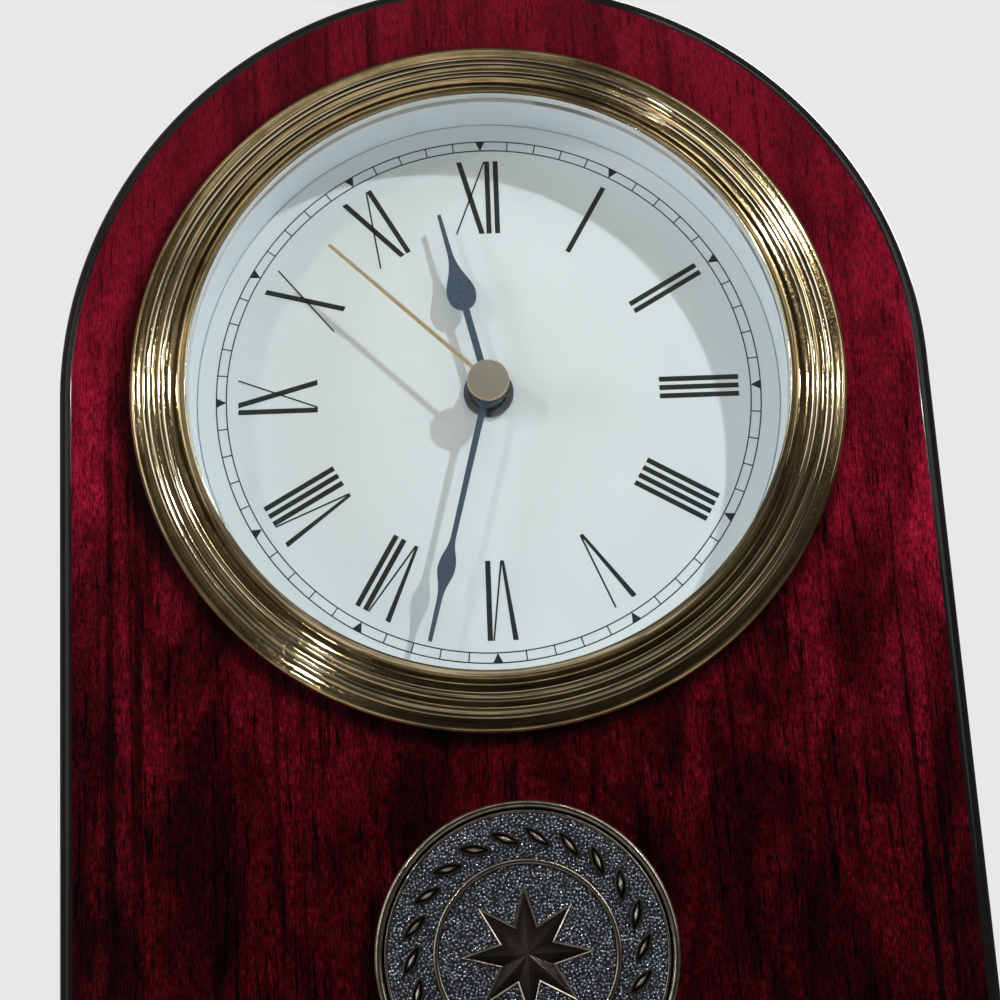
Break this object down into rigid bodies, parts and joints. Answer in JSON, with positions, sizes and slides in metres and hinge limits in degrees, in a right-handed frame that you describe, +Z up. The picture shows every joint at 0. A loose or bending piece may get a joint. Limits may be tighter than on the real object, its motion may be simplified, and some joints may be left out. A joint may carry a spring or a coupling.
{
  "type": "desk clock",
  "caption": "Arch-topped desk clock: gloss board on a plinth, round ridged bezel over a white dial with hour, minute and second hands, quartz movement behind, medallion below.",
  "frame": {"origin": "under the middle of the plinth, on the surface that the feet stand on", "axes": "+X to the viewer's right, +Y back through the board, +Z up; the dial faces -Y"},
  "size_m": [0.168, 0.066, 0.2199],
  "materials": {
    "gloss_wood": "dark red veneer under high-gloss lacquer, black edges",
    "black_rubber": "matt black",
    "steel": "plain steel",
    "old_pewter": "dark pewter with gold-brown rims",
    "foam_tape": "white foam tape",
    "polished_gold": "polished gold",
    "clear_glass": "clear",
    "white_plastic": "satin white",
    "dial_white": "matt white with charcoal print",
    "black_metal": "black",
    "brass": "turned",
    "dark_hands": "blue-black",
    "black_plastic": "fine matt",
    "ivory_plastic": "moulded",
    "magnet": "dark ferrite",
    "copper": "enamelled copper wire",
    "circuit_green": "green board",
    "black_resin": "black resin",
    "battery_case": "plain sleeve"
  },
  "bodies": {
    "case": {"board": "gloss_wood", "plinth": "gloss_wood", "rubber_feet": "black_rubber", "grip_ring": "black_rubber", "lens_gasket": "black_rubber", "plinth_screws": "steel", "stator": "steel", "coil_core": "steel", "quartz_crystal": "steel", "positive_contact": "steel", "negative_contact": "steel", "medallion": "old_pewter", "medallion_tape": "foam_tape", "bezel": "polished_gold", "lens": "clear_glass", "insert_cup": "white_plastic", "dial": "dial_white", "shaft_nut": "black_metal", "shaft_bushing": "brass", "movement_front_case": "black_plastic", "movement_cover": "black_plastic", "train_bridge": "ivory_plastic", "coil_bobbin": "ivory_plastic", "coil_winding": "copper", "circuit_board": "circuit_green", "chip": "black_resin", "battery": "battery_case"},
    "second": {"second_hand": "polished_gold", "seconds_wheel": "ivory_plastic"},
    "minute": {"minute_hand": "dark_hands", "cannon": "ivory_plastic"},
    "hour": {"hour_hand": "dark_hands", "hour_wheel": "ivory_plastic"},
    "third": {"third_wheel": "ivory_plastic"},
    "centre": {"centre_wheel": "ivory_plastic"},
    "intermediate": {"intermediate_wheel": "ivory_plastic"},
    "motor": {"rotor": "magnet"},
    "setting": {"minute_wheel": "ivory_plastic", "setting_knob": "black_plastic"}
  },
  "joints": [
    {"name": "second_spin", "type": "hinge", "parent": "case", "child": "second", "pos_m": [-0.001, -0.0137, 0.1495], "axis": [0, 1, 0], "continuous": true},
    {"name": "minute_spin", "type": "hinge", "parent": "case", "child": "minute", "pos_m": [-0.001, -0.0119, 0.1495], "axis": [0, 1, 0], "continuous": true},
    {"name": "hour_spin", "type": "hinge", "parent": "case", "child": "hour", "pos_m": [-0.001, -0.0098, 0.1495], "axis": [0, 1, 0], "continuous": true},
    {"name": "third_spin", "type": "hinge", "parent": "case", "child": "third", "pos_m": [-0.00983, 0.00365, 0.1546], "axis": [0, 1, 0], "continuous": true},
    {"name": "centre_spin", "type": "hinge", "parent": "case", "child": "centre", "pos_m": [-0.001, 0.00045, 0.1495], "axis": [0, 1, 0], "continuous": true},
    {"name": "intermediate_spin", "type": "hinge", "parent": "case", "child": "intermediate", "pos_m": [0.0032, 0.00655, 0.15677], "axis": [0, 1, 0], "continuous": true},
    {"name": "rotor_spin", "type": "hinge", "parent": "case", "child": "motor", "pos_m": [0.00475, 0.0034, 0.16257], "axis": [0, 1, 0], "continuous": true},
    {"name": "setting_spin", "type": "hinge", "parent": "case", "child": "setting", "pos_m": [0.01072, 0.0097, 0.15052], "axis": [0, 1, 0], "continuous": true}
  ],
  "couplings": [
    {"joint": "intermediate_spin", "follows": "second_spin", "ratio": -6},
    {"joint": "rotor_spin", "follows": "second_spin", "ratio": 30},
    {"joint": "third_spin", "follows": "second_spin", "ratio": -0.13333},
    {"joint": "centre_spin", "follows": "second_spin", "ratio": 0.016667},
    {"joint": "setting_spin", "follows": "minute_spin", "ratio": -0.33333},
    {"joint": "hour_spin", "follows": "minute_spin", "ratio": 0.083333}
  ]
}
